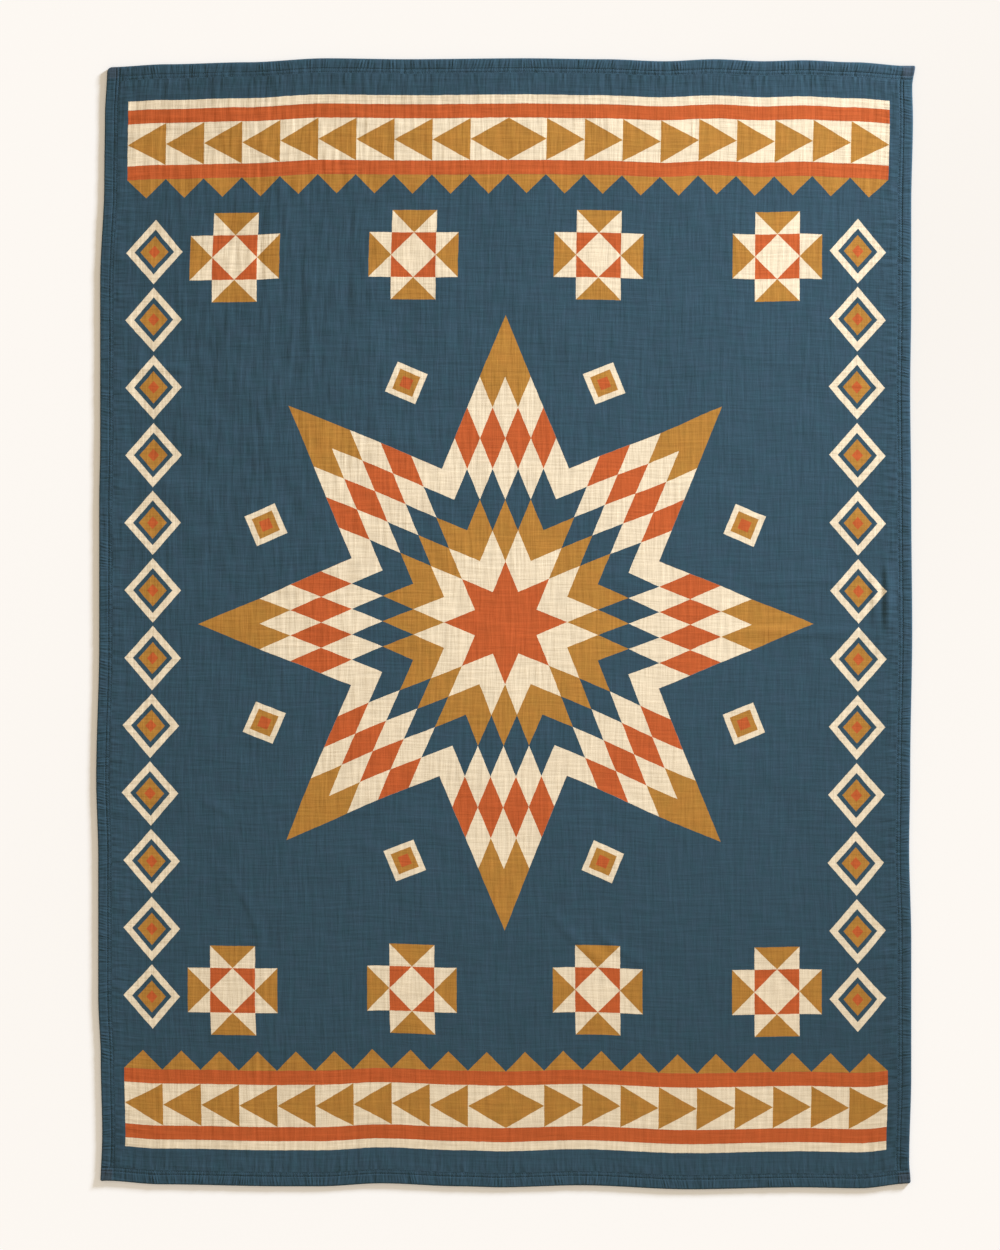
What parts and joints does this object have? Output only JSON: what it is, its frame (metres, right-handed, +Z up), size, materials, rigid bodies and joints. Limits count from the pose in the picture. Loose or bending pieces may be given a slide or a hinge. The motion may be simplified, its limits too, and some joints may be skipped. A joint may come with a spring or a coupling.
{
  "type": "star quilt blanket",
  "caption": "Rectangular gauze throw with a geometric star quilt pattern and a topstitched hem, lying flat with soft folds.",
  "frame": {"origin": "on the surface that the blanket lies on, under the middle of its bounding box", "axes": "+X across the blanket, +Y along it towards its top end, +Z up out of its face"},
  "size_m": [1.2802, 1.77, 0.0065],
  "materials": {
    "gauze": "crinkled four-layer cotton gauze, matte, slate blue with cream, ochre and rust quilt patches",
    "thread": "matte slate blue sewing thread"
  },
  "bodies": {
    "root": {"blanket": "gauze"}
  },
  "joints": []
}
